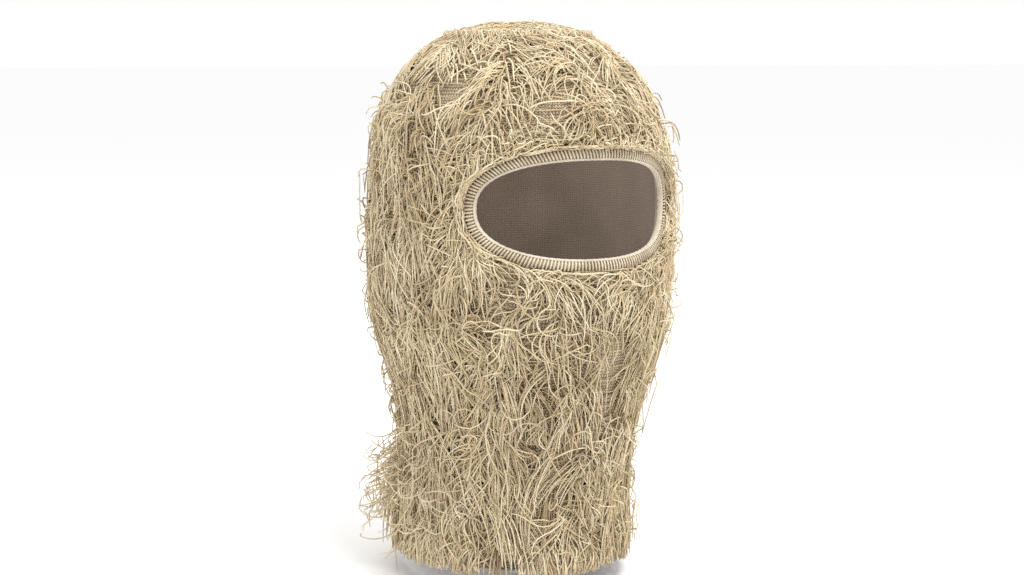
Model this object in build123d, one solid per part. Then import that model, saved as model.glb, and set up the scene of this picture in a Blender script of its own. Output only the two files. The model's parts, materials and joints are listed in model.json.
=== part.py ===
"""Full-face head cover of knitted cloth with a shaggy cut-yarn outside.

The cover is modelled as it sits on a head. Millimetres, +Z up, face towards -Y.
The origin is the top of the inside, where the crown of the head touches the lining.
"""
import math
import os

from build123d import *

os.makedirs("parts", exist_ok=True)

# ---- cloth thicknesses, outside to inside ----
SHELL_WALL = 1.2        # knitted ground cloth that carries the yarn
SEAM_SPACE = 1.8        # room between the two layers, taken by the seam allowances
LINING_WALL = 0.8       # fine rib lining
WALL = SHELL_WALL + SEAM_SPACE + LINING_WALL

# ---- outer surface of the ground cloth ----
CROWN_TOP = WALL        # the outside of the crown, so that the inside is at z = 0
BROW_Z = -94.0          # widest level of the head
CROWN_POWER = 2.4       # roundness of the crown: 2 is an ellipse, more is blunter
HEM_Z = -302.0          # lower edge of the ground cloth

# level, half breadth (X), half depth (Y) and centre (Y) of the outside
BROW = (BROW_Z, 81.0, 98.0, 0.0)
CHEEK = (-165.0, 78.0, 93.0, 0.0)
JAW = (-212.0, 66.0, 77.0, 0.5)
NECK = (-250.0, 61.5, 70.0, 5.0)
HEM = (HEM_Z, 63.0, 74.0, 11.0)
STATIONS = [BROW, CHEEK, JAW, NECK, HEM]

# ---- eye opening ----
EYE_Z = -96.5           # level of its middle
EYE_HALF_ANGLE = 47.0   # degrees round the face from the nose to each corner
EYE_HALF_HEIGHT = 27.5
EYE_POWER = 2.35        # 2 is an ellipse, more is squarer
BINDING_WIDTH = 7.0
BINDING_PROUD = 1.6     # how far the binding stands out of the ground cloth
BINDING_INSIDE = 0.6    # and inwards of the lining
ELASTIC_IN = 2.6        # from the edge of the opening to the elastic
ELASTIC_WIDTH = 2.8
ELASTIC_THICK = 1.4
STITCH_PITCH = 3.4      # round the binding
STITCH_THICK = 0.7
STITCH_SUNK = 0.35

# ---- hems, seams and the loose end of the front seam ----
SHELL_HEM_HEIGHT = 12.0
LINING_HEM_HEIGHT = 14.0
LINING_DROP = 6.0       # the lining hangs this far below the ground cloth
HEM_FOLD = 0.4          # extra thickness of a turned-up hem
HEM_STITCH_PITCH = 12.0
HEM_STITCH_UP = 5.0     # above the lower edge
SEAM_HALF_WIDTH = 3.0
SEAM_CLEARANCE = 0.15
TAIL_X = -12.0
TAIL_WIDTH = 9.0
TAIL_LENGTH = 15.0
TAIL_THICK = 1.2

# ---- fringe ----
FRINGE_PITCH = 20.0     # level to level
FRINGE_ROWS = 15
FRINGE_GAP = 0.8        # between one row's stand-in and the next, and to the cloth
FRINGE_ROOT = 4.5       # how far the yarn stands out at the top of its row
FRINGE_TIP = 12.0       # and at the bottom of its row
FRINGE_TOP_Z = -6.0     # highest row; the crown tuft covers what is above
FRINGE_DROP = 13.0      # the lowest row hangs this far below the hem
FRINGE_EYE_CLEAR = 4.0  # between the fringe and the binding

FAR = 400.0             # longer than the object in any direction
BELOW_HEM = 22.0        # the surfaces run on this far, so that hems can be cut
LEVEL_STEP = 18.0       # between the ovals that a surface is lofted through


def hermite(p0, p1, m0, m1, t):
    """Value on a smooth curve from p0 to p1 with end slopes m0 and m1."""
    return (
        (2 * t**3 - 3 * t**2 + 1) * p0
        + (t**3 - 2 * t**2 + t) * m0
        + (3 * t**2 - 2 * t**3) * p1
        + (t**3 - t**2) * m1
    )


def slope(index, column):
    """Slope of one station column against z; level at the brow."""
    if index == 0:
        return 0.0
    low = STATIONS[min(index + 1, len(STATIONS) - 1)]
    high = STATIONS[index - 1]
    return (low[column] - high[column]) / (low[0] - high[0])


def station_value(z, column):
    """Half breadth, half depth or centre at any level from the brow down."""
    index = 0
    while index < len(STATIONS) - 2 and z < STATIONS[index + 1][0]:
        index += 1
    high, low = STATIONS[index], STATIONS[index + 1]
    span = low[0] - high[0]
    t = (z - high[0]) / span
    m0 = slope(index, column) * span
    m1 = slope(index + 1, column) * span
    return hermite(high[column], low[column], m0, m1, t)


def section(z, grow):
    """Half breadth, half depth and centre of the outside, grown outwards."""
    if z >= BROW_Z:
        t = (z - BROW_Z) / (CROWN_TOP + grow - BROW_Z)
        k = max(0.0, 1 - t**CROWN_POWER) ** (1 / CROWN_POWER)
        return (BROW[1] + grow) * k, (BROW[2] + grow) * k, BROW[3]
    level = max(z, HEM_Z)
    a = station_value(level, 1) + grow
    b = station_value(level, 2) + grow
    return a, b, station_value(level, 3)


def oval(z, grow):
    """The section at one level as a face."""
    a, b, centre = section(z, grow)
    return Pos(0, centre, z) * Ellipse(a, b).faces()[0]


def body_of(grow):
    """Solid inside the grown outer surface, from below the hem to the crown."""
    low = HEM_Z - BELOW_HEM
    steps = round((BROW_Z - low) / LEVEL_STEP)
    levels = [low + (BROW_Z - low) * i / steps for i in range(steps + 1)]
    crown = CROWN_TOP + grow - BROW_Z
    for degrees in (18, 34, 48, 60, 70, 78, 84, 88):
        share = math.sin(math.radians(degrees)) ** (2 / CROWN_POWER)
        levels.append(BROW_Z + crown * share)
    ovals = [oval(z, grow) for z in levels]
    return loft(ovals + [Vertex(0, BROW[3], CROWN_TOP + grow)])


def slab(x0, x1, y0, y1, z0, z1):
    """Block between two corners."""
    block = Box(x1 - x0, y1 - y0, z1 - z0)
    return Pos((x0 + x1) / 2, (y0 + y1) / 2, (z0 + z1) / 2) * block


def layer(outer_grow, inner_grow, block):
    """Wall between two grown surfaces, kept inside a block."""
    return (body_of(outer_grow) & block) - (body_of(inner_grow) & block)


def band(outer_grow, inner_grow, bottom, top):
    """Wall between two grown surfaces, kept between two levels."""
    return layer(outer_grow, inner_grow, slab(-FAR, FAR, -FAR, FAR, bottom, top))


def eye_point(turn, widen):
    """Point (x, z) on the edge of the opening, widened along the cloth."""
    cos_t, sin_t = math.cos(turn), math.sin(turn)
    reach = abs(cos_t) ** (2 / EYE_POWER)
    rise = abs(sin_t) ** (2 / EYE_POWER)
    mean_radius = (BROW[1] + BROW[2]) / 2
    half_angle = math.radians(EYE_HALF_ANGLE) + widen / mean_radius
    x = BROW[1] * math.sin(half_angle * math.copysign(reach, cos_t))
    z = EYE_Z + (EYE_HALF_HEIGHT + widen) * math.copysign(rise, sin_t)
    return x, z


def eye_prism(widen):
    """Solid along Y through the front of the face, as large as the opening."""
    count = 36
    points = []
    for i in range(count):
        x, z = eye_point(2 * math.pi * (i + 0.5) / count, widen)
        points.append((x, z))
    outline = make_face(Plane.XZ * Spline(*points, periodic=True))
    return extrude(outline, amount=FAR / 2, dir=(0, -1, 0))


def front_y(x, z, grow):
    """Y of the grown outer surface in front at one place."""
    a, b, centre = section(z, grow)
    return centre - b * math.sqrt(max(0.0, 1 - (x / a) ** 2))


def write(node, shape):
    """Save one node."""
    solids = shape.solids()
    shape = solids[0] if len(solids) == 1 else Compound(children=list(solids))
    export_step(shape, f"parts/{node}.step")


# ---- ground cloth and lining, each in two halves sewn at the middle ----
eye_edge = eye_prism(BINDING_WIDTH)
shell_bottom = HEM_Z + SHELL_HEM_HEIGHT
lining_outer = -(SHELL_WALL + SEAM_SPACE)
lining_bottom = HEM_Z - LINING_DROP + LINING_HEM_HEIGHT
for side, x0, x1 in (("right", 0, FAR), ("left", -FAR, 0)):
    shell_block = slab(x0, x1, -FAR, FAR, shell_bottom, FAR)
    write(f"shell_{side}", layer(0, -SHELL_WALL, shell_block) - eye_edge)
    lining_block = slab(x0, x1, -FAR, FAR, lining_bottom, FAR)
    write(f"lining_{side}", layer(lining_outer, -WALL, lining_block) - eye_edge)

# ---- seam allowances between the two layers ----
seam_outer = -SHELL_WALL - SEAM_CLEARANCE
seam_inner = lining_outer + SEAM_CLEARANCE
chin_block = slab(
    -SEAM_HALF_WIDTH, SEAM_HALF_WIDTH, -FAR, BROW[3], shell_bottom, EYE_Z
)
write("front_seam", layer(seam_outer, seam_inner, chin_block) - eye_edge)
seam_block = slab(-SEAM_HALF_WIDTH, SEAM_HALF_WIDTH, -FAR, FAR, shell_bottom, FAR)
upper_seam = layer(seam_outer, seam_inner, seam_block - chin_block)
write("crown_back_seam", upper_seam - eye_edge)

# ---- binding of the eye opening, with its elastic and overlock stitches ----
face_low = EYE_Z - EYE_HALF_HEIGHT - 2 * BINDING_WIDTH
face_high = EYE_Z + EYE_HALF_HEIGHT + 2 * BINDING_WIDTH
face_block = slab(-FAR, FAR, -FAR, BROW[3], face_low, face_high)
binding = layer(BINDING_PROUD, -WALL - BINDING_INSIDE, face_block) & eye_edge
binding = binding - eye_prism(0)
elastic_outer = (ELASTIC_THICK - WALL) / 2
elastic = layer(elastic_outer, elastic_outer - ELASTIC_THICK, face_block)
elastic = elastic & eye_prism(ELASTIC_IN + ELASTIC_WIDTH)
elastic = elastic - eye_prism(ELASTIC_IN)

binding_middle = [
    eye_point(2 * math.pi * i / 720, BINDING_WIDTH / 2) for i in range(720)
]
surface_points = [
    Vector(x, front_y(x, z, BINDING_PROUD), z) for x, z in binding_middle
]
stitches = []
travelled = 0.0
for i in range(len(surface_points)):
    here, after = surface_points[i], surface_points[(i + 1) % len(surface_points)]
    travelled += (after - here).length
    if travelled < STITCH_PITCH:
        continue
    travelled -= STITCH_PITCH
    x, z = binding_middle[i]
    a, b, centre = section(z, BINDING_PROUD)
    outwards = Vector(x / a**2, (here.Y - centre) / b**2, 0).normalized()
    along = (after - here).normalized()
    place = Plane(origin=here, x_dir=along, z_dir=outwards)
    height = STITCH_THICK
    bar = Box(STITCH_THICK, BINDING_WIDTH * 0.7, height)
    lift = height / 2 - STITCH_SUNK
    stitches.append(place * Pos(0, 0, lift) * bar)
stitch_group = Compound(children=[bar.solid() for bar in stitches])

binding = binding - elastic
binding = binding - [bar.solid() for bar in stitches]
write("eye_binding", binding)
write("eye_elastic", elastic)
write("eye_overlock_stitches", stitch_group)

# ---- turned-up hems of both layers and the stitches that hold them together ----
shell_hem = band(HEM_FOLD, -SHELL_WALL - HEM_FOLD, HEM_Z, shell_bottom)
lining_hem = band(
    lining_outer + HEM_FOLD, -WALL - HEM_FOLD, HEM_Z - LINING_DROP, lining_bottom
)
stitch_z = HEM_Z + HEM_STITCH_UP
a, b, centre = section(stitch_z, -SHELL_WALL - SEAM_SPACE / 2)
around = math.pi * (a + b)
hem_stitch_count = round(around / HEM_STITCH_PITCH)
hem_bars = []
for i in range(hem_stitch_count):
    turn = 2 * math.pi * (i + 0.5) / hem_stitch_count
    here = Vector(a * math.cos(turn), centre + b * math.sin(turn), stitch_z)
    outwards = Vector(math.cos(turn) / a, math.sin(turn) / b, 0).normalized()
    place = Plane(origin=here, x_dir=outwards, z_dir=(0, 0, 1))
    hem_bars.append((place * Box(SEAM_SPACE + HEM_FOLD, STITCH_THICK, STITCH_THICK)).solid())
shell_hem = shell_hem - hem_bars
lining_hem = lining_hem - hem_bars
write("shell_hem", shell_hem)
write("lining_hem", lining_hem)
write("hem_stitches", Compound(children=hem_bars))

# ---- loose end of the front seam, hanging out of the hem ----
tail_left = TAIL_X - TAIL_WIDTH / 2
tail_block = slab(
    tail_left, tail_left + TAIL_WIDTH, -FAR, 0, HEM_Z - TAIL_LENGTH, HEM_Z
)
write("seam_tail", layer(0, -TAIL_THICK, tail_block))

# ---- fringe: one plain soft stand-in for each row of cut yarn ----
fringe_inside = body_of(FRINGE_GAP)
fringe_eye = eye_prism(BINDING_WIDTH + FRINGE_EYE_CLEAR)
for row in range(FRINGE_ROWS):
    high = FRINGE_TOP_Z - row * FRINGE_PITCH
    low = high - FRINGE_PITCH + FRINGE_GAP
    if row == FRINGE_ROWS - 1:
        low = HEM_Z - FRINGE_DROP
    middle = (high + low) / 2
    half_way = (FRINGE_ROOT + FRINGE_TIP) / 2
    outside = loft(
        [oval(low, FRINGE_TIP), oval(middle, half_way), oval(high, FRINGE_ROOT)]
    )
    write(f"fringe_row_{row + 1:02d}", outside - fringe_inside - fringe_eye)

crown_low = FRINGE_TOP_Z + FRINGE_GAP
tuft = body_of(FRINGE_TIP) & slab(-FAR, FAR, -FAR, FAR, crown_low, FAR)
write("crown_tuft", tuft - fringe_inside)
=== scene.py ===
# %% [markdown]
# # A shaggy knitted head cover
# A camouflage face cover is a lined tube of knitted cloth with one wide, bound eye opening. Its
# outside carries thousands of loose yarns: floats that run level across the cloth, and cut ends
# that hang from them in tassels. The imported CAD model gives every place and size.

# %% Load the frame
import json
import math

import bmesh
import bpy
import numpy as np
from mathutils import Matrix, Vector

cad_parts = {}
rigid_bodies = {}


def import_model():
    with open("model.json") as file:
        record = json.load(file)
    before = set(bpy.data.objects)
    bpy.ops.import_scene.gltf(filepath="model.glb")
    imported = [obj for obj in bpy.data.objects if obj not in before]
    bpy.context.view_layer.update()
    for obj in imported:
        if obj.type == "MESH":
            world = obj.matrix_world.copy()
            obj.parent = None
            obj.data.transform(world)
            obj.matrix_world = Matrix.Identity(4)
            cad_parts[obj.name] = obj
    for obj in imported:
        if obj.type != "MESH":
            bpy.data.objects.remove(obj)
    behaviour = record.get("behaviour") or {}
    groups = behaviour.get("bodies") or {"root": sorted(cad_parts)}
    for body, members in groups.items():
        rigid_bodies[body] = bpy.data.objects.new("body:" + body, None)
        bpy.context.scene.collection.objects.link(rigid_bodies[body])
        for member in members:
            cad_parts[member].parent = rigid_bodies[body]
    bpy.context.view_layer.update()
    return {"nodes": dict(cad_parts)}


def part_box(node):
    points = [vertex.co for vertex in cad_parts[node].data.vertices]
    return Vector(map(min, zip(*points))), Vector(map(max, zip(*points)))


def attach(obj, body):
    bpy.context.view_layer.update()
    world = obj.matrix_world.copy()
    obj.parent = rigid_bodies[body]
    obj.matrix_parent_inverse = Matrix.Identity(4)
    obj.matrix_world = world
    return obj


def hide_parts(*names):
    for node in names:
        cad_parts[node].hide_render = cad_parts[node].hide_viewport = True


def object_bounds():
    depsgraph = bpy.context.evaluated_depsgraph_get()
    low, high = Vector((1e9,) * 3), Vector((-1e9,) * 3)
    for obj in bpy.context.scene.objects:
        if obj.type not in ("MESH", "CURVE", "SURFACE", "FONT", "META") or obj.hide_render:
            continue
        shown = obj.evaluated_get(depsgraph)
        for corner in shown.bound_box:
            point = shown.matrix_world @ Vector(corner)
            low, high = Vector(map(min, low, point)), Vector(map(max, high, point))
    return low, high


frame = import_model()
MM = 0.001
print("CAD nodes:", len(frame["nodes"]))

# %% [markdown]
# ## The camera
# It stands a little above the eyes and to one side, 1.2 m away with a long lens, so that the head
# shows with little perspective, as in a catalogue picture.

# %% Camera
AZIMUTH = math.radians(-26.0)
ELEVATION = math.radians(6.7)
DISTANCE = 1.2
VIEW_WIDTH = 0.614
SENSOR = 36.0
MID_Z = -0.150
SIDE_STEP = -0.0036

right = np.array([math.cos(AZIMUTH), math.sin(AZIMUTH), 0.0])
target = np.array([0.0, 0.0, MID_Z]) + SIDE_STEP * right
towards = np.array([
    math.sin(AZIMUTH) * math.cos(ELEVATION),
    -math.cos(AZIMUTH) * math.cos(ELEVATION),
    math.sin(ELEVATION),
])
bpy.ops.object.camera_add(location=target + DISTANCE * towards)
camera = bpy.context.object
camera.rotation_euler = (math.pi / 2 - ELEVATION, 0.0, AZIMUTH)
camera.data.sensor_width = SENSOR
camera.data.lens = SENSOR * DISTANCE / VIEW_WIDTH
bpy.context.scene.camera = camera
print("lens", round(camera.data.lens, 1), "mm")

# %% [markdown]
# ## The shape of the head
# Every layer of the cover follows one smooth surface. Its level ovals are given by a few stations,
# the same ones as in the CAD model, and by a blunt power curve over the crown. A layer is this
# surface grown outwards or inwards.

# %% The surface
WALL = 3.8 * MM
SHELL_WALL = 1.2 * MM
LINING_WALL = 0.8 * MM
CROWN_TOP = WALL
BROW_Z = -94.0 * MM
CROWN_POWER = 2.4
HEM_Z = -302.0 * MM
BROW_OVAL = (81.0 * MM, 98.0 * MM)
STATION_Z = np.array([-302.0, -250.0, -212.0, -165.0, -94.0]) * MM
STATION_BREADTH = np.array([63.0, 61.5, 66.0, 78.0, 81.0]) * MM
STATION_DEPTH = np.array([74.0, 70.0, 77.0, 93.0, 98.0]) * MM
STATION_CENTRE = np.array([11.0, 5.0, 0.5, 0.0, 0.0]) * MM


def smooth_value(z, values):
    """Station values at any level, on a curve that is smooth and level at the brow."""
    slopes = np.gradient(values, STATION_Z)
    slopes[1:-1] = (values[2:] - values[:-2]) / (STATION_Z[2:] - STATION_Z[:-2])
    slopes[-1] = 0.0
    z = np.clip(z, STATION_Z[0], STATION_Z[-1])
    i = np.clip(np.searchsorted(STATION_Z, z) - 1, 0, len(STATION_Z) - 2)
    span = STATION_Z[i + 1] - STATION_Z[i]
    t = (z - STATION_Z[i]) / span
    return (
        (2 * t**3 - 3 * t**2 + 1) * values[i]
        + (t**3 - 2 * t**2 + t) * slopes[i] * span
        + (3 * t**2 - 2 * t**3) * values[i + 1]
        + (t**3 - t**2) * slopes[i + 1] * span
    )


def oval(z, grow):
    """Half breadth, half depth and centre of the level oval of a grown surface."""
    z = np.asarray(z, float)
    t = np.clip((z - BROW_Z) / (CROWN_TOP + grow - BROW_Z), 0.0, 1.0)
    k = (1 - t**CROWN_POWER) ** (1 / CROWN_POWER)
    a = (smooth_value(z, STATION_BREADTH) + grow) * k
    b = (smooth_value(z, STATION_DEPTH) + grow) * k
    return a, b, smooth_value(z, STATION_CENTRE)


def surface(turn, z, grow):
    """Point of a grown surface; turn is 0 at the nose and grows towards +X."""
    a, b, centre = oval(z, grow)
    x = a * np.sin(turn)
    y = centre - b * np.cos(turn)
    return np.stack([x, y, np.broadcast_to(z, x.shape)], axis=-1)


def normal_at(points):
    """Outward normals of the surface near some points."""
    step = 0.5 * MM
    x, y, z = points[..., 0], points[..., 1], points[..., 2]
    a, b, centre = oval(np.minimum(z, CROWN_TOP - 2 * MM), 0.0)
    nx, ny = x / a**2, (y - centre) / b**2
    flat = np.sqrt(nx**2 + ny**2) + 1e-9
    upper = oval(np.minimum(z, CROWN_TOP - 2 * MM) + step, 0.0)[0]
    tilt = (a - upper) / step
    n = np.stack([nx / flat, ny / flat, tilt], axis=-1)
    return n / np.linalg.norm(n, axis=-1, keepdims=True)


def surface_size(points, gap):
    """Below 1 inside the ground cloth grown by a gap, above 1 outside it."""
    x, y, z = points[..., 0], points[..., 1], points[..., 2]
    centre = smooth_value(z, STATION_CENTRE)
    wide_a = smooth_value(z, STATION_BREADTH) + gap
    wide_b = smooth_value(z, STATION_DEPTH) + gap
    height = np.clip((z - BROW_Z) / (CROWN_TOP + gap - BROW_Z), 0.0, None)
    flat = np.sqrt((x / wide_a) ** 2 + ((y - centre) / wide_b) ** 2)
    return (flat**CROWN_POWER + height**CROWN_POWER) ** (1 / CROWN_POWER)


def scaled(points, k):
    """Points moved straight towards or away from the middle of the head."""
    x, y, z = points[..., 0], points[..., 1], points[..., 2]
    centre = smooth_value(z, STATION_CENTRE)
    level = np.where(z > BROW_Z, BROW_Z + (z - BROW_Z) * k, z)
    return np.stack([x * k, centre + (y - centre) * k, level], axis=-1)


def push_out(points, gap):
    """Points moved out so that each stays a gap outside the ground cloth."""
    size = surface_size(points, gap)
    return scaled(points, np.where(size < 1.0, 1.0 / np.maximum(size, 1e-6), 1.0))


def pull_in(points, reach):
    """Points drawn back to where the yarn's own weight lets it stand."""
    size = surface_size(points, reach)
    return scaled(points, np.where(size > 1.0, 1.0 / size, 1.0))


print("girth at the brow:", round(2 * math.pi * math.hypot(*BROW_OVAL) / math.sqrt(2), 3), "m")

# %% [markdown]
# ## The eye opening
# Its edge is a rounded oblong drawn on the cloth, 47 degrees round the face to each end. The same
# formula, widened along the cloth, gives the binding's outer edge and the line that yarn keeps to.

# %% The opening's outline
EYE_Z = -96.5 * MM
EYE_HALF_ANGLE = math.radians(47.0)
EYE_HALF_HEIGHT = 27.5 * MM
EYE_POWER = 2.35
BINDING_WIDTH = 7.0 * MM
MEAN_RADIUS = sum(BROW_OVAL) / 2


def eye_edge(turn, widen):
    """Angle round the face and level of the opening's widened edge."""
    cos_t, sin_t = np.cos(turn), np.sin(turn)
    reach = np.sign(cos_t) * np.abs(cos_t) ** (2 / EYE_POWER)
    rise = np.sign(sin_t) * np.abs(sin_t) ** (2 / EYE_POWER)
    angle = (EYE_HALF_ANGLE + widen / MEAN_RADIUS) * reach
    return angle, EYE_Z + (EYE_HALF_HEIGHT + widen) * rise


def even_turns(shares):
    """Turns that divide the opening's edge into equal lengths; shares run from 0 to 1."""
    turn = np.linspace(0, 2 * np.pi, 4001)
    angle, z = eye_edge(turn, BINDING_WIDTH / 2)
    edge = surface(angle, z, 0.0)
    length = np.concatenate([[0], np.cumsum(np.linalg.norm(np.diff(edge, axis=0), axis=1))])
    return np.interp(np.mod(shares, 1.0), length / length[-1], turn)


def eye_size(angle, z, widen):
    """Below 1 inside the widened opening, above 1 outside it."""
    reach = np.abs(angle) / (EYE_HALF_ANGLE + widen / MEAN_RADIUS)
    rise = np.abs(z - EYE_Z) / (EYE_HALF_HEIGHT + widen)
    return (reach**EYE_POWER + rise**EYE_POWER) ** (1 / EYE_POWER)


# %% [markdown]
# ## Helpers for meshes and materials
# Blender's operators work on what is selected, so everything is deselected first. A material here
# is a short list of nodes, so two small helpers add a node and join its sockets.

# %% Helpers
def deselect():
    """Nothing selected, and object mode."""
    if bpy.context.object and bpy.context.object.mode != "OBJECT":
        bpy.ops.object.mode_set(mode="OBJECT")
    for o in bpy.context.view_layer.objects:
        o.select_set(False)


def settle(piece, slot, *nodes):
    """The piece's body and the CAD nodes it stands for; slot, its material slot, is not used."""
    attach(piece, "root")
    if nodes:
        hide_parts(*nodes)
    print(piece.name, len(piece.data.polygons), "faces")


def add(tree, kind, inputs=(), **settings):
    """One shader node; inputs maps sockets to a value or another node's output."""
    made = tree.nodes.new(kind)
    for key, value in settings.items():
        setattr(made, key, value)
    for key, value in dict(inputs).items():
        if isinstance(value, bpy.types.NodeSocket):
            tree.links.new(value, made.inputs[key])
        else:
            made.inputs[key].default_value = value
    return made


def calc(tree, operation, first, second=0.0, third=0.0):
    """One step of arithmetic."""
    made = add(tree, "ShaderNodeMath", {0: first, 1: second, 2: third}, operation=operation)
    return made.outputs[0]


def new_material(name, roughness, sheen=0.0):
    """Material with an empty Principled shader."""
    material = bpy.data.materials.new(name)
    material.use_nodes = True
    shader = material.node_tree.nodes["Principled BSDF"]
    shader.inputs["Roughness"].default_value = roughness
    shader.inputs["Sheen Weight"].default_value = sheen
    shader.inputs["Specular IOR Level"].default_value = 0.2
    return material, material.node_tree, shader


# %% [markdown]
# ## The knit pattern
# Knitted cloth is columns of V-shaped loops. One node group draws them on a flat map in metres: it
# gives the thread as a mask, and a rounded height for the bump. The ground cloth, the lining and
# the seams each place it with their own stitch size.

# %% Knit group
def make_knit_group():
    group = bpy.data.node_groups.new("knit_stitches", "ShaderNodeTree")
    face = group.interface
    face.new_socket("Map", in_out="INPUT", socket_type="NodeSocketVector")
    for name in ("Column", "Course", "Slant", "Gap"):
        face.new_socket(name, in_out="INPUT", socket_type="NodeSocketFloat")
    for name in ("Thread", "Height"):
        face.new_socket(name, in_out="OUTPUT", socket_type="NodeSocketFloat")
    start = add(group, "NodeGroupInput").outputs
    split = add(group, "ShaderNodeSeparateXYZ", {0: start["Map"]}).outputs
    across = calc(group, "DIVIDE", split[0], start["Column"])
    along = calc(group, "DIVIDE", split[1], start["Course"])
    side = calc(group, "ABSOLUTE", calc(group, "SUBTRACT", calc(group, "FRACT", across), 0.5))
    leaning = calc(group, "MULTIPLY_ADD", side, start["Slant"], along)
    course = calc(group, "ABSOLUTE", calc(group, "SUBTRACT", calc(group, "FRACT", leaning), 0.5))
    strand = calc(group, "SUBTRACT", 1.0, calc(group, "MULTIPLY", course, 2.0))
    valley = calc(group, "MULTIPLY", side, 2.0)
    wale = calc(group, "SUBTRACT", 1.0, calc(group, "POWER", valley, 3.0))
    height = calc(group, "MULTIPLY", strand, wale)
    mask = add(group, "ShaderNodeMapRange", {
        "Value": height, "From Min": start["Gap"],
        "From Max": calc(group, "ADD", start["Gap"], 0.2),
    })
    end = add(group, "NodeGroupOutput")
    group.links.new(mask.outputs[0], end.inputs["Thread"])
    group.links.new(height, end.inputs["Height"])
    return group


knit_group = make_knit_group()
print("knit group nodes:", len(knit_group.nodes))

# %% [markdown]
# ## Cloth materials
# The ground cloth is an open knit, cream thread over dark gaps. The lining is a close taupe knit.
# Both are matt, so the colour and the bump carry the detail. Wide soft noise varies the colour, as
# uneven dye and dust do.

# %% Cloth materials
def knit_material(name, thread, gap_colour, column, course, slant, gap, bump, on_map=True):
    """Matt knitted cloth; on_map reads the piece's own map, else object coordinates."""
    material, tree, shader = new_material(name, 0.92, 0.15)
    place = add(tree, "ShaderNodeTexCoord").outputs["UV" if on_map else "Object"]
    vector = place
    if not on_map:
        split = add(tree, "ShaderNodeSeparateXYZ", {0: place}).outputs
        level = calc(tree, "ADD", split[0], split[1])
        vector = add(tree, "ShaderNodeCombineXYZ", {0: level, 1: split[2]}).outputs[0]
    wander = add(tree, "ShaderNodeTexNoise", {"Vector": vector, "Scale": 140.0, "Detail": 2.0})
    drift = add(tree, "ShaderNodeVectorMath", {
        0: wander.outputs["Color"], 1: (column * 0.5,) * 3,
    }, operation="MULTIPLY").outputs[0]
    moved = add(tree, "ShaderNodeVectorMath", {0: vector, 1: drift}, operation="ADD").outputs[0]
    knit = add(tree, "ShaderNodeGroup", node_tree=knit_group)
    tree.links.new(moved, knit.inputs["Map"])
    for key, value in (("Column", column), ("Course", course), ("Slant", slant), ("Gap", gap)):
        knit.inputs[key].default_value = value
    patch = add(tree, "ShaderNodeTexNoise", {"Vector": vector, "Scale": 22.0, "Detail": 3.0})
    tone = add(tree, "ShaderNodeMapRange", {
        "Value": patch.outputs["Fac"], "From Min": 0.3, "From Max": 0.7, "To Min": 0.82,
        "To Max": 1.12,
    }).outputs[0]
    mixed = add(tree, "ShaderNodeMix", {
        0: knit.outputs["Thread"], 6: (*gap_colour, 1.0), 7: (*thread, 1.0),
    }, data_type="RGBA").outputs[2]
    shaded = add(tree, "ShaderNodeVectorMath", {0: mixed, "Scale": tone}, operation="SCALE")
    tree.links.new(shaded.outputs[0], shader.inputs["Base Color"])
    dent = add(tree, "ShaderNodeBump", {
        "Height": knit.outputs["Height"], "Strength": 0.8, "Distance": bump,
    })
    tree.links.new(dent.outputs[0], shader.inputs["Normal"])
    return material


CREAM = (0.66, 0.56, 0.39)
TAUPE = (0.235, 0.182, 0.142)
ground_material = knit_material(
    "ground_knit", CREAM, (0.24, 0.155, 0.088), 2.3 * MM, 1.8 * MM, 1.2, 0.30, 0.6 * MM
)
lining_material = knit_material(
    "lining_knit", TAUPE, (0.15, 0.115, 0.088), 1.7 * MM, 1.5 * MM, 0.8, 0.10, 0.3 * MM
)
seam_material = knit_material(
    "seam_knit", CREAM, (0.2, 0.15, 0.1), 1.6 * MM, 1.6 * MM, 1.0, 0.15, 0.3 * MM, False
)
hem_material = knit_material(
    "hem_knit", TAUPE, (0.07, 0.05, 0.035), 1.7 * MM, 1.5 * MM, 0.8, 0.12, 0.3 * MM, False
)

# %% [markdown]
# ## Ground cloth and lining
# Each layer starts as a sphere: the lower pole is cut off, and every point is moved to the surface,
# crown to hem. Soft folds are pushed in by a sum of waves, small where the cloth is stretched over
# the skull and larger at the slack neck. Solidify gives it its thickness, and a Boolean with a block
# shaped like the eye opening cuts the face.

# %% Cloth layers
ROUND_STEPS = 180
LEVEL_STEPS = 120
OPEN_BELOW = math.radians(170.0)
FOLD_DEPTH = 0.8 * MM
BLOCK_DEPTH = 0.16         # the cutting block reaches this far forwards
BLOCK_BACK = 0.005         # and starts this far in front of the middle of the head


def folds(turn, z):
    """How far the cloth leans in or out of its smooth shape."""
    slack = np.clip((BROW_Z - z) / (BROW_Z - HEM_Z), 0.0, 1.0)
    wave = np.sin(5 * turn + 40 * z) + 0.6 * np.sin(9 * turn - 60 * z + 1.3)
    wave = wave + 0.5 * np.sin(3 * turn + 110 * z + 0.4)
    return (0.15 + 0.85 * slack**2) * wave * FOLD_DEPTH


def cut_block(widen):
    """Closed block, in front of the face, as large as the widened opening."""
    deselect()
    bpy.ops.mesh.primitive_cylinder_add(vertices=120, radius=1.0, depth=BLOCK_DEPTH)
    block = bpy.context.object
    turn = np.array([math.atan2(v.co.y, v.co.x) for v in block.data.vertices])
    angle, z = eye_edge(turn, widen)
    for v, one_angle, level in zip(block.data.vertices, angle, z):
        depth = -BLOCK_DEPTH if v.co.z > 0 else -BLOCK_BACK
        v.co = (BROW_OVAL[0] * math.sin(one_angle), depth, level)
    bpy.ops.object.mode_set(mode="EDIT")
    bpy.ops.mesh.select_all(action="SELECT")
    bpy.ops.mesh.normals_make_consistent(inside=False)
    bpy.ops.object.mode_set(mode="OBJECT")
    return block


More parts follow.
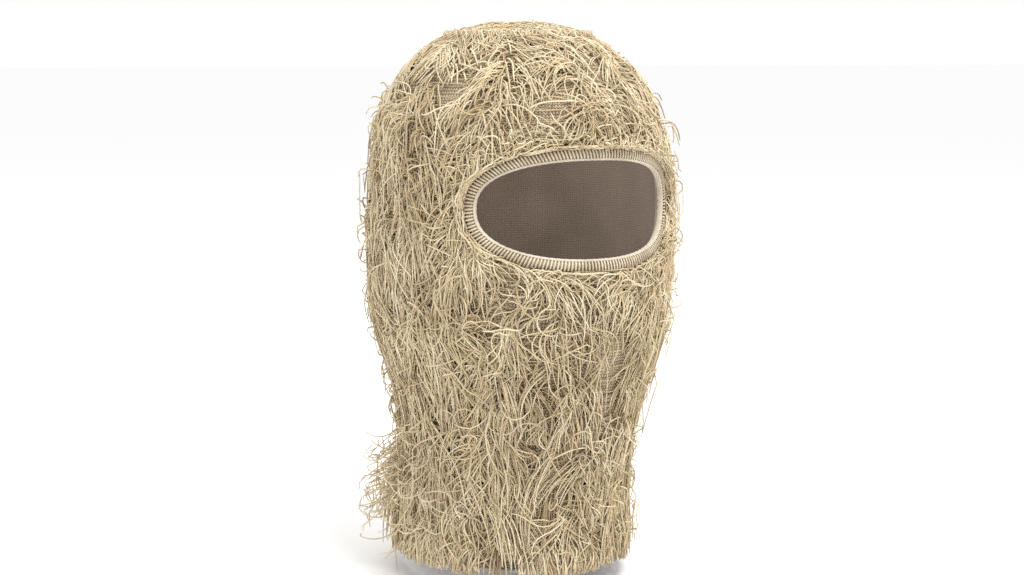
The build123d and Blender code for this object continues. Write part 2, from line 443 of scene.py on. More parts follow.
def cloth_layer(name, grow, wall, bottom, widen):
    """One closed sheet of cloth over the head, with its face cut open."""
    deselect()
    bpy.ops.mesh.primitive_uv_sphere_add(segments=ROUND_STEPS, ring_count=LEVEL_STEPS, radius=1.0)
    piece = bpy.context.object
    piece.name = name
    bpy.ops.object.mode_set(mode="EDIT")
    bpy.ops.mesh.select_all(action="DESELECT")
    bm = bmesh.from_edit_mesh(piece.data)
    for v in bm.verts:
        v.select = v.co.z < math.cos(OPEN_BELOW)
    bm.select_flush(True)
    bmesh.update_edit_mesh(piece.data)
    bpy.ops.mesh.delete(type="VERT")
    bpy.ops.object.mode_set(mode="OBJECT")
    count = len(piece.data.vertices)
    flat = np.empty(count * 3)
    piece.data.vertices.foreach_get("co", flat)
    p = flat.reshape(-1, 3)
    polar = np.arccos(np.clip(p[:, 2], -1, 1))
    turn = np.arctan2(p[:, 0], -p[:, 1])
    crown = CROWN_TOP + grow - BROW_Z
    lowest = polar.max()
    z = np.where(
        polar < math.pi / 2,
        BROW_Z + crown * np.abs(np.cos(polar)) ** (2 / CROWN_POWER),
        BROW_Z - (BROW_Z - bottom) * (polar - math.pi / 2) / (lowest - math.pi / 2),
    )
    placed = surface(turn, z, grow)
    placed = placed + normal_at(placed) * folds(turn, z)[:, None]
    piece.data.vertices.foreach_set("co", placed.ravel())
    piece.data.update()
    layer = piece.data.uv_layers.active or piece.data.uv_layers.new(name="cloth_map")
    layer.name = "cloth_map"
    for polygon in piece.data.polygons:
        corners = [turn[i] for i in polygon.vertices]
        wraps = max(corners) - min(corners) > math.pi
        for loop, vertex in zip(polygon.loop_indices, polygon.vertices):
            angle = turn[vertex]
            if wraps and angle < 0:
                angle += 2 * math.pi
            layer.data[loop].uv = (angle * MEAN_RADIUS, z[vertex])
    thick = piece.modifiers.new("wall", "SOLIDIFY")
    thick.thickness = wall
    thick.offset = -1.0
    bpy.ops.object.modifier_apply(modifier="wall")
    block = cut_block(widen)
    deselect()
    piece.select_set(True)
    bpy.context.view_layer.objects.active = piece
    cut = piece.modifiers.new("face", "BOOLEAN")
    cut.object = block
    cut.operation = "DIFFERENCE"
    cut.solver = "EXACT"
    bpy.ops.object.modifier_apply(modifier="face")
    bpy.data.objects.remove(block)
    bpy.ops.object.shade_smooth_by_angle(angle=math.radians(50))
    return piece


HEM_HEIGHT = 12.0 * MM
LINING_RISE = 8.0 * MM     # the lining's edge above the hem line
LINING_INSET = 3.0 * MM    # from the ground cloth's face to the lining's face
CUT_WIDEN = 5.0 * MM       # the raw edge lies this far under the binding
ground_cloth = cloth_layer("ground_cloth", 0.0, SHELL_WALL, HEM_Z + HEM_HEIGHT, CUT_WIDEN)
ground_cloth.data.materials.clear()
ground_cloth.data.materials.append(ground_material)
settle(ground_cloth, "ground_knit", "shell_left", "shell_right")
lining = cloth_layer("lining", -LINING_INSET, LINING_WALL, HEM_Z + LINING_RISE, CUT_WIDEN)
lining.data.materials.clear()
lining.data.materials.append(lining_material)
settle(lining, "lining_knit", "lining_left", "lining_right")

# %% [markdown]
# ## The binding of the eye opening
# A strip of rib is folded over both raw edges and overlocked, so its face is a row of close radial
# ribs with a smooth bright rim where the elastic rolls it inwards. A torus gives the closed strip:
# its points are moved along the opening's edge and to a flattened section. The ribs are one bent
# stitch, copied round the edge.

# %% Binding strip and rim
RIB_COUNT = 176
PROUD = 1.6 * MM
RIM_RADIUS = 0.8 * MM
STITCH_RADIUS = 0.55 * MM


def wrap_torus(name, steps, section_steps, section):
    """Closed strip along the eye opening; section(angle) gives (widen, grow)."""
    deselect()
    bpy.ops.mesh.primitive_torus_add(
        major_segments=steps, minor_segments=section_steps, major_radius=1.0, minor_radius=0.25
    )
    piece = bpy.context.object
    piece.name = name
    count = len(piece.data.vertices)
    flat = np.empty(count * 3)
    piece.data.vertices.foreach_get("co", flat)
    p = flat.reshape(-1, 3)
    share = np.arctan2(p[:, 1], p[:, 0]) / (2 * np.pi)
    major = even_turns(share)
    out = np.hypot(p[:, 0], p[:, 1]) - 1.0
    minor = np.arctan2(p[:, 2], out)
    widen, grow = section(minor, 2 * np.pi * share)
    angle, z = eye_edge(major, widen)
    level = surface(angle, z, 0.0)
    placed = level + normal_at(level) * grow[:, None]
    piece.data.vertices.foreach_set("co", placed.ravel())
    bpy.ops.object.mode_set(mode="EDIT")
    bpy.ops.mesh.select_all(action="SELECT")
    bpy.ops.mesh.normals_make_consistent(inside=False)
    bpy.ops.object.mode_set(mode="OBJECT")
    bpy.ops.object.shade_smooth()
    return piece


def strip_section(minor, major):
    """Flattened oval from the rim to the outer edge, rippled by the ribs."""
    half = BINDING_WIDTH / 2 - 0.3 * MM
    widen = BINDING_WIDTH / 2 + half * np.cos(minor)
    middle = (PROUD - WALL) / 2
    ripple = 0.25 * MM * np.cos(RIB_COUNT * major)
    grow = middle + (WALL / 2 + PROUD / 2 - 0.4 * MM + ripple * (np.sin(minor) > 0)) * np.sin(minor)
    return widen, grow


def rim_section(minor, major):
    """Round roll at the very edge of the opening."""
    radius = RIM_RADIUS + 0.08 * MM * np.sin(RIB_COUNT * major)
    return 0.6 * MM + radius * np.cos(minor), -0.4 * MM + 2.0 * radius * np.sin(minor)


def thread_material(name, colour, dark, roughness, scale):
    """Sewing thread and rib: fine twisted lines and soft uneven colour."""
    material, tree, shader = new_material(name, roughness, 0.25)
    place = add(tree, "ShaderNodeTexCoord").outputs["Object"]
    grain = add(tree, "ShaderNodeTexNoise", {"Vector": place, "Scale": scale, "Detail": 4.0})
    soft = add(tree, "ShaderNodeTexNoise", {"Vector": place, "Scale": 60.0, "Detail": 2.0})
    both = calc(tree, "MULTIPLY_ADD", grain.outputs["Fac"], 0.5,
                calc(tree, "MULTIPLY", soft.outputs["Fac"], 0.5))
    ramp = add(tree, "ShaderNodeMapRange", {"Value": both, "From Min": 0.35, "From Max": 0.62})
    mixed = add(tree, "ShaderNodeMix", {
        0: ramp.outputs[0], 6: (*dark, 1.0), 7: (*colour, 1.0),
    }, data_type="RGBA").outputs[2]
    tree.links.new(mixed, shader.inputs["Base Color"])
    dent = add(tree, "ShaderNodeBump", {
        "Height": grain.outputs["Fac"], "Strength": 0.5, "Distance": 0.3 * MM,
    })
    tree.links.new(dent.outputs[0], shader.inputs["Normal"])
    return material


binding_material = thread_material(
    "binding_rib", (0.42, 0.34, 0.235), (0.24, 0.18, 0.115), 0.9, 900.0
)
rim_material = thread_material("rim_thread", (0.64, 0.57, 0.46), (0.48, 0.41, 0.31), 0.8, 700.0)
stitch_material = thread_material(
    "overlock_thread", (0.72, 0.63, 0.47), (0.5, 0.41, 0.285), 0.85, 800.0
)

binding = wrap_torus("eye_binding_rib", RIB_COUNT * 6, 16, strip_section)
binding.data.materials.append(binding_material)
settle(binding, "binding_rib", "eye_binding")
rim = wrap_torus("eye_rim", RIB_COUNT * 3, 10, rim_section)
rim.data.materials.append(rim_material)
settle(rim, "binding_rib")

# %% [markdown]
# ## Yarn as tubes
# A yarn is a thin tube along a path of a few points. All the yarns of one row are one mesh, built
# from arrays, because there are thousands: three sides and a pointed cap each keep them light. Each
# mesh has a map that runs along the yarn, for the twist, and a value per yarn, for its tone.

# %% Tube builder
def tubes(name, paths, radii, tones, sides=3):
    """One mesh of closed tubes; paths is (yarns, points, 3)."""
    yarns, points = paths.shape[:2]
    ahead = np.empty_like(paths)
    ahead[:, 1:-1] = paths[:, 2:] - paths[:, :-2]
    ahead[:, 0] = paths[:, 1] - paths[:, 0]
    ahead[:, -1] = paths[:, -1] - paths[:, -2]
    ahead /= np.linalg.norm(ahead, axis=2, keepdims=True) + 1e-12
    helper = np.where(np.abs(ahead[:, :1, 2:]) < 0.9, [[[0.0, 0.0, 1.0]]], [[[1.0, 0.0, 0.0]]])
    side = np.cross(ahead[:, 0], helper[:, 0])
    side /= np.linalg.norm(side, axis=1, keepdims=True) + 1e-12
    rings = np.empty((yarns, points, sides, 3))
    turns = 2 * np.pi * np.arange(sides) / sides
    taper = np.ones(points)
    taper[-1] = 0.6
    for i in range(points):
        side = side - ahead[:, i] * np.sum(side * ahead[:, i], axis=1, keepdims=True)
        side /= np.linalg.norm(side, axis=1, keepdims=True) + 1e-12
        third = np.cross(ahead[:, i], side)
        for k, turn in enumerate(turns):
            arm = math.cos(turn) * side + math.sin(turn) * third
            rings[:, i, k] = paths[:, i] + arm * (radii * taper[i])[:, None]
    verts = rings.reshape(-1, 3)
    base = (np.arange(yarns) * points * sides)[:, None, None]
    i, k = np.meshgrid(np.arange(points - 1), np.arange(sides), indexing="ij")
    after = (k + 1) % sides
    quad = np.stack([i * sides + k, i * sides + after, (i + 1) * sides + after,
                     (i + 1) * sides + k], axis=-1).reshape(1, -1, 4)
    quads = (base + quad).reshape(-1, 4)
    low = (base[:, 0] + np.arange(sides)[::-1]).reshape(-1, sides)
    high = (base[:, 0] + (points - 1) * sides + np.arange(sides)).reshape(-1, sides)
    mesh = bpy.data.meshes.new(name)
    loops = np.concatenate([quads.ravel(), low.ravel(), high.ravel()])
    sizes = np.concatenate([np.full(len(quads), 4), np.full(2 * yarns, sides)])
    starts = np.concatenate([[0], np.cumsum(sizes)[:-1]])
    mesh.vertices.add(len(verts))
    mesh.vertices.foreach_set("co", verts.ravel())
    mesh.loops.add(len(loops))
    mesh.loops.foreach_set("vertex_index", loops.astype(np.int32))
    mesh.polygons.add(len(sizes))
    mesh.polygons.foreach_set("loop_start", starts.astype(np.int32))
    mesh.update(calc_edges=True)
    mesh.validate()
    step = np.linalg.norm(np.diff(paths, axis=1), axis=2)
    along = np.concatenate([np.zeros((yarns, 1)), np.cumsum(step, axis=1)], axis=1)
    v = np.repeat(along.reshape(-1), sides)[loops]
    u = (loops % sides) / sides
    layer = mesh.uv_layers.new(name="yarn_map")
    layer.data.foreach_set("uv", np.stack([u, v], axis=1).ravel())
    tone = mesh.attributes.new("tone", "FLOAT", "POINT")
    tone.data.foreach_set("value", np.repeat(tones, points * sides))
    mesh.polygons.foreach_set("use_smooth", np.ones(len(sizes), bool))
    piece = bpy.data.objects.new(name, mesh)
    bpy.context.scene.collection.objects.link(piece)
    return piece


# %% [markdown]
# ## The overlock stitches
# Each stitch is a thread that starts at the strip's outer edge, bows over its face and dips into the
# rim. They lean a little, one after another.

# %% Stitches round the opening
random = np.random.default_rng(11)
stitch_turn = even_turns((np.arange(RIB_COUNT) + 0.5) / RIB_COUNT)
across = np.linspace(0.98, 0.12, 7)
stitch_lean = 0.010 * (across - 0.5)
widen = BINDING_WIDTH * across[None, :] * (1 + 0.04 * random.standard_normal((RIB_COUNT, 1)))
angle, level = eye_edge(stitch_turn[:, None] + stitch_lean[None, :], widen)
bow = PROUD + 0.15 * MM - 1.6 * MM * (2 * across - 1) ** 4
points = surface(angle, level, 0.0)
points = points + normal_at(points) * bow[None, :, None]
radii = np.full(RIB_COUNT, STITCH_RADIUS)
stitches = tubes("eye_overlock", points, radii, np.ones(RIB_COUNT), 5)
stitches.data.materials.append(stitch_material)
settle(stitches, "overlock_thread", "eye_overlock_stitches")

# %% [markdown]
# ## Yarn material
# Cream acrylic yarn is matt and a little fuzzy, so it gets sheen. The value on each yarn picks a
# colour between warm tan and near white; the floats get lower values, as painted shade of the
# under-layer. Noise breaks the colour up along its length, and a slanted wave on its map draws the
# two-ply twist in the bump and in the colour, where it is painted highlight and shade: lighter on
# each ply's crest, darker in the groove between plies.

# %% Yarn material
TWIST_PITCH = 2.6 * MM


def yarn_material():
    material, tree, shader = new_material("fringe_yarn", 0.88, 0.35)
    shader.inputs["Sheen Roughness"].default_value = 0.5
    tone = add(tree, "ShaderNodeAttribute", attribute_name="tone").outputs["Fac"]
    place = add(tree, "ShaderNodeTexCoord").outputs
    split = add(tree, "ShaderNodeSeparateXYZ", {0: place["UV"]}).outputs
    twist = calc(tree, "MULTIPLY_ADD", split[1], 1 / TWIST_PITCH, split[0])
    ply = calc(tree, "ABSOLUTE", calc(tree, "SUBTRACT", calc(tree, "FRACT", twist), 0.5))
    ply = calc(tree, "MULTIPLY", ply, 2.0)
    noise = add(tree, "ShaderNodeTexNoise", {
        "Vector": place["Object"], "Scale": 90.0, "Detail": 3.0,
    }).outputs["Fac"]
    shade = calc(tree, "MULTIPLY_ADD", noise, 0.5, calc(tree, "ADD", tone, -0.25))
    # The twist wave also lightens each ply's crest and darkens the groove between plies in the colour:
    # painted highlight and shade along the twist, beside the bump.
    shade = calc(tree, "MULTIPLY_ADD", ply, 0.12, shade)
    ramp = add(tree, "ShaderNodeValToRGB", {0: shade})
    stops = ramp.color_ramp.elements
    stops[0].position, stops[0].color = 0.0, (0.34, 0.225, 0.11, 1.0)
    stops[1].position, stops[1].color = 1.0, (0.86, 0.76, 0.54, 1.0)
    middle = stops.new(0.5)
    middle.color = (0.65, 0.515, 0.305, 1.0)
    tree.links.new(ramp.outputs[0], shader.inputs["Base Color"])
    dent = add(tree, "ShaderNodeBump", {"Height": ply, "Strength": 0.6, "Distance": 0.3 * MM})
    tree.links.new(dent.outputs[0], shader.inputs["Normal"])
    return material


fringe_material = yarn_material()

# %% [markdown]
# ## How a yarn falls
# Each cut end is walked out from its root in short steps. It starts outwards and sideways, gravity
# turns it down, a slow wave curls it, and the ground cloth pushes it out wherever it would go in. The
# binding's edge turns it aside, so that the eye opening stays clear.

# %% Walking the yarns
YARN_RADIUS = 0.44 * MM
POINTS = 11
EYE_CLEAR = 6.3 * MM
DOWN = np.array([0.0, 0.0, -1.0])


def clear_eyes(points, amount):
    """Points over the eye opening slid along the cloth to the binding's edge."""
    a, b, centre = oval(points[..., 2], 0.0)
    side = points[..., 0] / np.maximum(a, MM)
    front = -(points[..., 1] - centre) / np.maximum(b, MM)
    angle = np.arctan2(side, front)
    reach = np.hypot(side, front)
    size = eye_size(angle, points[..., 2], amount)
    inside = (size < 1.0) & (np.abs(angle) < math.pi / 2)
    k = np.where(inside, 1.0 / np.maximum(size, 0.05), 1.0)
    z = EYE_Z + (points[..., 2] - EYE_Z) * k
    angle = np.where(inside, angle * k, angle)
    a, b, centre = oval(z, 0.0)
    moved = np.stack([a * reach * np.sin(angle), centre - b * reach * np.cos(angle), z], -1)
    return np.where(inside[..., None], moved, points)


def walk(roots, heading, length, weight, gap, reach, curl):
    """Paths of yarns; curl is (strength, axis, pace, phase) for each of them."""
    strength, axis, pace, phase = curl
    step = (length / (POINTS - 1))[:, None]
    place = push_out(roots, 0.4 * MM)
    way = heading / np.linalg.norm(heading, axis=1, keepdims=True)
    path = [place]
    for i in range(1, POINTS):
        swing = (strength * np.sin(phase + pace * i))[:, None]
        way = way + DOWN * weight[:, None] + np.cross(way, axis) * swing
        way = way / np.linalg.norm(way, axis=1, keepdims=True)
        near = gap * min(1.0, i / 2)
        after = pull_in(push_out(place + way * step, near), reach)
        after = push_out(clear_eyes(after, EYE_CLEAR + gap * 0.4), near)
        moved = after - place
        way = moved / (np.linalg.norm(moved, axis=1, keepdims=True) + 1e-9)
        place = place + way * step
        path.append(place)
    return np.stack(path, axis=1)


def curls(random, owners, count, low, high):
    """Curl of each yarn: its clump's own, with a little difference."""
    clumps = owners.max() + 1
    axis = random.standard_normal((clumps, 3))[owners] + 0.3 * random.standard_normal((count, 3))
    pace = random.uniform(0.15, 0.55, clumps)[owners] + 0.05 * random.standard_normal(count)
    phase = random.uniform(0, 2 * np.pi, clumps)[owners] + 0.3 * random.standard_normal(count)
    return random.uniform(low, high, count), axis, pace, phase


# %% [markdown]
# ## Columns, floats and tassels
# The knitter lets extra yarn float level across the cloth from one column of stitches to the next,
# and then the floats are cut beside the columns. So the yarn is thick in ragged vertical columns,
# with level floats and glimpses of the ground cloth between them.

# %% Where the yarn is rooted
COLUMNS = 10
ON_COLUMN_SHARE = 0.55
WILD_SHARE = 0.09          # cut ends that stand away from the rest
CLUMP_SPREAD = 3.0 * MM
FLOAT_PITCH = 3.0 * MM
LOWEST = HEM_Z - 7.0 * MM
seeds = np.random.default_rng(5)
column_turn = np.sort((np.arange(COLUMNS) + seeds.uniform(-0.22, 0.22, COLUMNS)) / COLUMNS)
column_turn = column_turn * 2 * np.pi - np.pi


def column_at(index, z):
    """Angle of a column at a level; it wanders down the cloth."""
    sway = 0.10 * np.sin(35 * z + 2.1 * index) + 0.05 * np.sin(90 * z + index)
    return column_turn[index] + sway


def tangents(points):
    """Level direction round the head at some points, towards growing angle."""
    n = normal_at(points)
    t = np.stack([-n[:, 1], n[:, 0], np.zeros(len(n))], axis=1)
    t = t / (np.linalg.norm(t, axis=1, keepdims=True) + 1e-9)
    return t, n


# places with few cut ends, where floats and ground cloth show: turn, level, half sizes
WINDOWS = [
    (0, -152, 14, 8), (-3, -186, 12, 7), (-65, -143, 10, 9), (-32, -137, 17, 9),
    (-24, -50, 16, 9), (-18, -20, 12, 6), (24, -236, 10, 8), (-48, -205, 8, 8),
    (150, -62, 12, 9), (-150, -128, 12, 9), (100, -112, 11, 8), (178, -200, 12, 8),
    (-108, -188, 10, 8), (70, -222, 10, 8), (62, -60, 12, 8), (-100, -70, 12, 9),
]
HANG = 16.0 * MM
# above this level the yarn is pressed closer to the head
CROWN_LEVEL = -34.0 * MM
CROWN_REACH = 4.5 * MM


def in_window(angle, z):
    """Whether a cut end rooted here would hang over a window."""
    hit = np.zeros(len(z), bool)
    for turn, level, half_turn, half_height in WINDOWS:
        away = (angle - math.radians(turn) + np.pi) % (2 * np.pi) - np.pi
        low = (level - half_height) * MM
        high = (level + half_height) * MM + HANG
        hit |= (np.abs(away) < math.radians(half_turn)) & (z > low) & (z < high)
    return hit


def tassel_roots(random, clumps, low, high):
    """Clump places between two levels, a little over half of them on a column."""
    z = random.uniform(low, high, clumps)
    on_column = random.random(clumps) < ON_COLUMN_SHARE
    index = random.integers(0, COLUMNS, clumps)
    angle = np.where(
        on_column,
        column_at(index, z) + 0.07 * random.standard_normal(clumps),
        random.uniform(-np.pi, np.pi, clumps),
    )
    return angle, z


def room_above_eyes(angle, z):
    """How long a yarn rooted above the eye opening may be; no real limit elsewhere."""
    angle = (angle + np.pi) % (2 * np.pi) - np.pi
    share = np.clip(np.abs(angle) / (EYE_HALF_ANGLE + 0.1), 0.0, 1.0)
    edge = EYE_Z + (EYE_HALF_HEIGHT + EYE_CLEAR) * (1 - share**EYE_POWER) ** (1 / EYE_POWER)
    above = (share < 1.0) & (z > EYE_Z)
    return np.where(above, np.maximum(z - edge, 0.0) * 1.5 + 9 * MM, 1.0)


def cut_ends(random, clumps, per_clump, low, high, long):
    """Tassels: clumps of cut yarns that share a direction and differ a little."""
    angle, z = tassel_roots(random, clumps, low, high)
    lean = random.choice([-1.0, 1.0], clumps) * random.uniform(0.2, 1.9, clumps)
    out = random.uniform(0.15, 0.7, clumps)
    size = random.uniform(0.6, 1.2, clumps)
    tone = np.clip(random.normal(0.5, 0.16, clumps), 0.1, 0.9)
    owner = np.repeat(np.arange(clumps), per_clump)
    spread = CLUMP_SPREAD * random.standard_normal((2, len(owner)))
    angle = angle[owner] + spread[0] / MEAN_RADIUS
    z = np.minimum(z[owner] + spread[1], CROWN_TOP - 0.5 * MM)
    keep = eye_size((angle + np.pi) % (2 * np.pi) - np.pi, z, EYE_CLEAR) > 1.0
    keep &= ~in_window(angle, z) | (random.random(len(z)) < 0.12)
    angle, z, owner = angle[keep], z[keep], owner[keep]
    count = len(owner)
    roots = surface(angle, z, 0.5 * MM)
    t, n = tangents(roots)
    sideways = lean[owner] + 0.2 * random.standard_normal(count)
    outward = np.abs(out[owner] + 0.14 * random.standard_normal(count)) + 0.1
    heading = t * sideways[:, None] + n * outward[:, None] + DOWN * 0.25
    length = long * size[owner] * random.uniform(0.7, 1.15, count)
    length = np.minimum(length, (z - LOWEST) * 1.1 + 3 * MM)
    length = np.minimum(length, room_above_eyes(angle, z))
    weight = random.uniform(0.08, 0.42, clumps)[owner] + random.uniform(0, 0.08, count)
    gap = random.uniform(0.6, 5.0, count) * MM
    reach = gap + random.uniform(1.0, 3.6, count) * MM
    curl = curls(random, owner, count, 0.06, 0.4)
    wild = random.random(count) < WILD_SHARE
    weight = np.where(wild, random.uniform(0.0, 0.12, count), weight)
    reach = np.where(wild, random.uniform(7.0, 14.0, count) * MM, reach)
    reach = np.where(z > CROWN_LEVEL, np.minimum(reach, CROWN_REACH), reach)
    strength = np.where(wild, random.uniform(0.25, 0.6, count), curl[0])
    paths = walk(roots, heading, length, weight, gap, reach, (strength, *curl[1:]))
    shade = np.clip(tone[owner] + 0.14 * random.standard_normal(count), 0.02, 1.0)
    return paths, shade


def floats(random, low, high):
    """Uncut yarns that run level from one column to the next."""
    levels = np.arange(low, high, FLOAT_PITCH)
    index, z = np.meshgrid(np.arange(COLUMNS), levels)
    index, z = index.ravel(), z.ravel() + 0.5 * MM * random.standard_normal(index.size)
    keep = random.random(len(index)) < 0.8
    index, z = index[keep], z[keep]
    start = column_at(index, z)
    end = column_at((index + 1) % COLUMNS, z) + np.where(index == COLUMNS - 1, 2 * np.pi, 0)
    start = start + random.uniform(-0.04, 0.10, len(index))
    end = end + random.uniform(-0.10, 0.04, len(index))
    share = np.linspace(0, 1, POINTS)[None, :]
    angle = start[:, None] + (end - start)[:, None] * share
    sag = random.uniform(0.3, 3.5, len(index))[:, None] * MM * np.sin(np.pi * share)
    wave = 0.5 * MM * np.sin(7 * share + random.uniform(0, 6, len(index))[:, None])
    level = np.minimum(z[:, None] - sag + wave, CROWN_TOP - 0.5 * MM)
    stand = random.uniform(0.7, 2.6, len(index))[:, None] * MM * np.sin(np.pi * share) ** 0.5
    wrapped = (angle + np.pi) % (2 * np.pi) - np.pi
    free = np.all(eye_size(wrapped, level, EYE_CLEAR) > 1.0, axis=1)
    points = surface(angle[free], level[free], 0.0)
    points = points + normal_at(points) * (stand[free] + 0.5 * MM)[..., None]
    # The floats lie under the cut ends, so their tone is set darker on average (0.42 against 0.5):
    # painted shade of the under-layer, over a random tone per yarn.
    tone = np.clip(random.normal(0.42, 0.15, len(points)), 0.02, 0.9)
    return points, tone


# %% [markdown]
# ## Row by row
# Every row of fringe in the CAD model becomes one mesh of floats and tassels, rooted between that
# row's levels, and it rides and is named like its row.

# %% Fringe rows
ROWS = 15
CLUMPS_IN_ROW = 88
YARNS_IN_CLUMP = 16
LONG_ABOVE = 34 * MM        # cut ends of the first four rows
LONG_BELOW = 43 * MM
for row in range(1, ROWS + 1):
    node = f"fringe_row_{row:02d}"
    low_corner, high_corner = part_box(node)
    random = np.random.default_rng(100 + row)
    high = high_corner[2]
    low = max(low_corner[2], HEM_Z + 3 * MM)
    long = LONG_ABOVE if row < 5 else LONG_BELOW
    paths, shade = cut_ends(random, CLUMPS_IN_ROW, YARNS_IN_CLUMP, low, high, long)
    float_paths, float_tone_with_painted_shade = floats(random, low, high)
    every = np.concatenate([paths, float_paths])
    tones = np.concatenate([shade, float_tone_with_painted_shade])
    radii = YARN_RADIUS * random.uniform(0.85, 1.15, len(every))
    piece = tubes(f"yarn_row_{row:02d}", every, radii, tones)
    piece.data.materials.append(fringe_material)
    settle(piece, "fringe_yarn", node)

# %% [markdown]
# ## The flared nape
# Behind one shoulder the cut ends at the slack neck stand out sideways in a loose lock.

# %% Lock behind the shoulder
LOCK_TURN = math.radians(-108.0)
LOCK_Z = -256 * MM
random = np.random.default_rng(31)
count = 150
lock_turn = LOCK_TURN + 0.28 * random.standard_normal(count)
lock_z = LOCK_Z + 14 * MM * random.standard_normal(count)
roots = surface(lock_turn, lock_z, 0.5 * MM)
side, out = tangents(roots)
heading = out + side * random.normal(-0.2, 0.35, count)[:, None] + DOWN * 0.35
lock_paths = walk(
    roots, heading, random.uniform(22, 48, count) * MM, random.uniform(0.02, 0.14, count),
    np.full(count, 2 * MM), random.uniform(8, 30, count) * MM,
    curls(random, np.zeros(count, int), count, 0.05, 0.3),
)
lock = tubes("yarn_nape_lock", lock_paths, np.full(count, YARN_RADIUS),
             random.uniform(0.35, 0.8, count))
lock.data.materials.append(fringe_material)
settle(lock, "fringe_yarn")

# %% [markdown]
# ## Tufts round the eye opening
# Short cut ends crowd against the binding. Above it they lie along its edge, and below it they hang.

# %% Tufts beside the binding
TUFT_CLUMPS = 90
random = np.random.default_rng(41)
count = 1100
tuft_owner = random.integers(0, TUFT_CLUMPS, count)
tuft_turn = random.uniform(0, 2 * np.pi, TUFT_CLUMPS)[tuft_owner] + 0.05 * random.standard_normal(count)
tuft_angle, tuft_z = eye_edge(tuft_turn, EYE_CLEAR + np.abs(random.normal(0, 6, count)) * MM)
roots = surface(tuft_angle, tuft_z, 0.5 * MM)
side, out = tangents(roots)
over = tuft_z > EYE_Z + 12 * MM
lean = random.uniform(-1.6, 1.6, TUFT_CLUMPS)[tuft_owner] + 0.3 * random.standard_normal(count)
heading = side * lean[:, None] + out * 0.35 + DOWN * np.where(over, -0.25, 0.4)[:, None]
length = np.where(over, random.uniform(10, 22, count), random.uniform(18, 38, count)) * MM
gap = random.uniform(0.6, 4.0, count) * MM
edge_paths = walk(
    roots, heading, length, np.where(over, 0.04, random.uniform(0.08, 0.3, count)),
    gap, gap + random.uniform(1, 5, count) * MM, curls(random, tuft_owner, count, 0.1, 0.5),
)
edge_tufts = tubes("yarn_eye_edge", edge_paths, np.full(count, YARN_RADIUS),
                   random.uniform(0.3, 0.85, count))
edge_tufts.data.materials.append(fringe_material)
settle(edge_tufts, "fringe_yarn")

# %% Crown tuft
CROWN_CLUMPS = 60
random = np.random.default_rng(77)
crown_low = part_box("crown_tuft")[0][2]
count = 900
crown_turn = random.uniform(-np.pi, np.pi, count)
crown_reach = np.sqrt(random.uniform(0, 1, count))
crown_oval = oval(crown_low, 0.0)
roots = np.stack([
    crown_oval[0] * crown_reach * np.sin(crown_turn),
    -crown_oval[1] * crown_reach * np.cos(crown_turn),
    np.full(count, CROWN_TOP - 1.0 * MM),
], axis=1)
owner = random.integers(0, CROWN_CLUMPS, count)
comb = random.uniform(-1, 1, (CROWN_CLUMPS, 3))[owner] + [0.3, -0.3, 0.0]
away = roots * [14.0, 14.0, 0.0] + comb + 0.35 * random.standard_normal((count, 3))
heading = away * [1, 1, 0] + np.abs(random.normal(0.25, 0.2, count))[:, None] * [0, 0, 1]
gap = random.uniform(0.5, 2.6, count) * MM
paths = walk(
    roots, heading, random.uniform(22, 46, count) * MM, random.uniform(0.05, 0.3, count),
    gap, gap + random.uniform(0.6, 2.4, count) * MM, curls(random, owner, count, 0.1, 0.5),
)
tuft = tubes("yarn_crown", paths, np.full(count, YARN_RADIUS), random.uniform(0.3, 0.85, count))
tuft.data.materials.append(fringe_material)
settle(tuft, "fringe_yarn", "crown_tuft")

# %% [markdown]
# ## Hems, seams and the loose seam end
# These CAD pieces have the right shape already, so they only get a cloth or thread finish. A CAD
# node's mesh is never changed: its material is swapped.

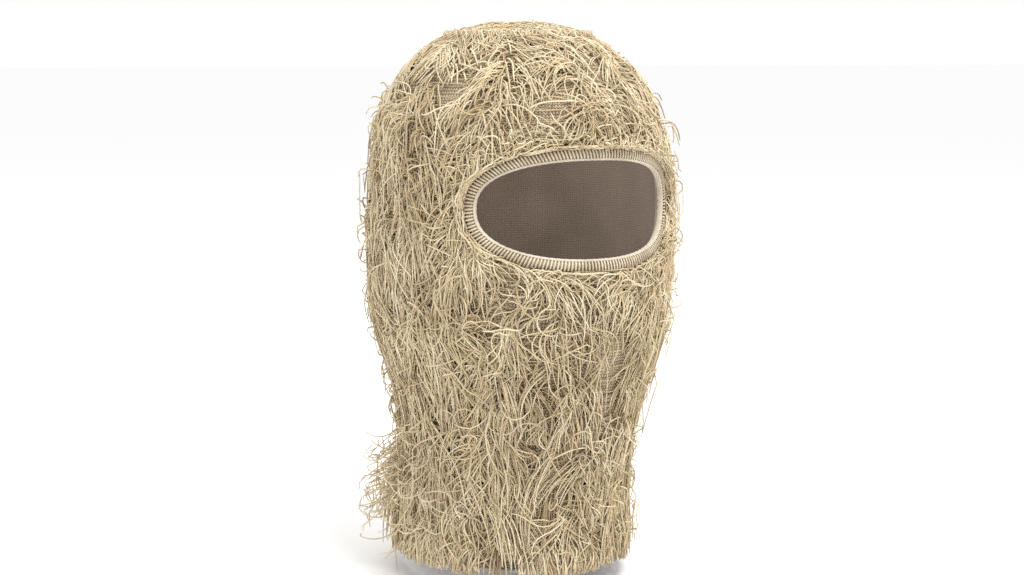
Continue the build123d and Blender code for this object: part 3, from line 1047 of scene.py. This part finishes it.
# %% Finishes for the CAD pieces that stay
finishes = {
    "shell_hem": seam_material, "lining_hem": hem_material, "front_seam": seam_material,
    "crown_back_seam": seam_material, "seam_tail": seam_material,
    "hem_stitches": stitch_material, "eye_elastic": rim_material,
}
for node, material in finishes.items():
    mesh = frame["nodes"][node].data
    mesh.materials.clear()
    mesh.materials.append(material)

# %% [markdown]
# Both layers are sheets, stretched over the head. Their flat size is an estimate of the cloth before
# it was shaped: the girth at the brow by 0.40 m, of which the shaping leaves three quarters.

# %% [markdown]
# ## Floor, light and finish
# A pale floor just below the hanging yarn, a large soft light from the upper right, a weaker one
# from the left, and a bright even surrounding light, so that shadows inside the yarn stay soft.

# %% Stage and light
bpy.ops.mesh.primitive_plane_add(size=80.0, location=(0.0, 0.0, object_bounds()[0][2] - 2 * MM))
floor = bpy.context.object
floor.name = "floor"
floor_material, _, floor_shader = new_material("pale_floor", 0.9)
floor_shader.inputs["Base Color"].default_value = (0.97, 0.97, 0.97, 1.0)
floor_shader.inputs["Specular IOR Level"].default_value = 0.0
floor.data.materials.append(floor_material)


def soft_light(name, azimuth, elevation, distance, size, power):
    """Square light aimed at the middle of the object."""
    a, e = math.radians(azimuth), math.radians(elevation)
    place = (
        distance * math.sin(a) * math.cos(e),
        -distance * math.cos(a) * math.cos(e),
        distance * math.sin(e) + MID_Z,
    )
    bpy.ops.object.light_add(type="AREA", location=place)
    lamp = bpy.context.object
    lamp.name = name
    lamp.rotation_euler = (math.pi / 2 - e, 0.0, a)
    lamp.data.size = size
    lamp.data.energy = power
    lamp.visible_camera = False


soft_light("key_light", 10, 60, 1.8, 0.8, 26)
soft_light("fill_light", -95, 25, 2.0, 1.6, 3)
soft_light("back_light", 150, 35, 2.0, 1.4, 8)
bpy.ops.object.light_add(type="POINT", location=(0.0, 0.0, EYE_Z))
inner_lamp = bpy.context.object
inner_lamp.name = "inner_light"
inner_lamp.data.energy = 0.2
inner_lamp.data.shadow_soft_size = 0.03
inner_lamp.visible_camera = False
bpy.context.scene.view_settings.view_transform = "Standard"
world = bpy.data.worlds.new("studio")
bpy.context.scene.world = world
world.use_nodes = True
world.node_tree.nodes["Background"].inputs[0].default_value = (1.0, 1.0, 1.0, 1.0)
world.node_tree.nodes["Background"].inputs[1].default_value = 1.0
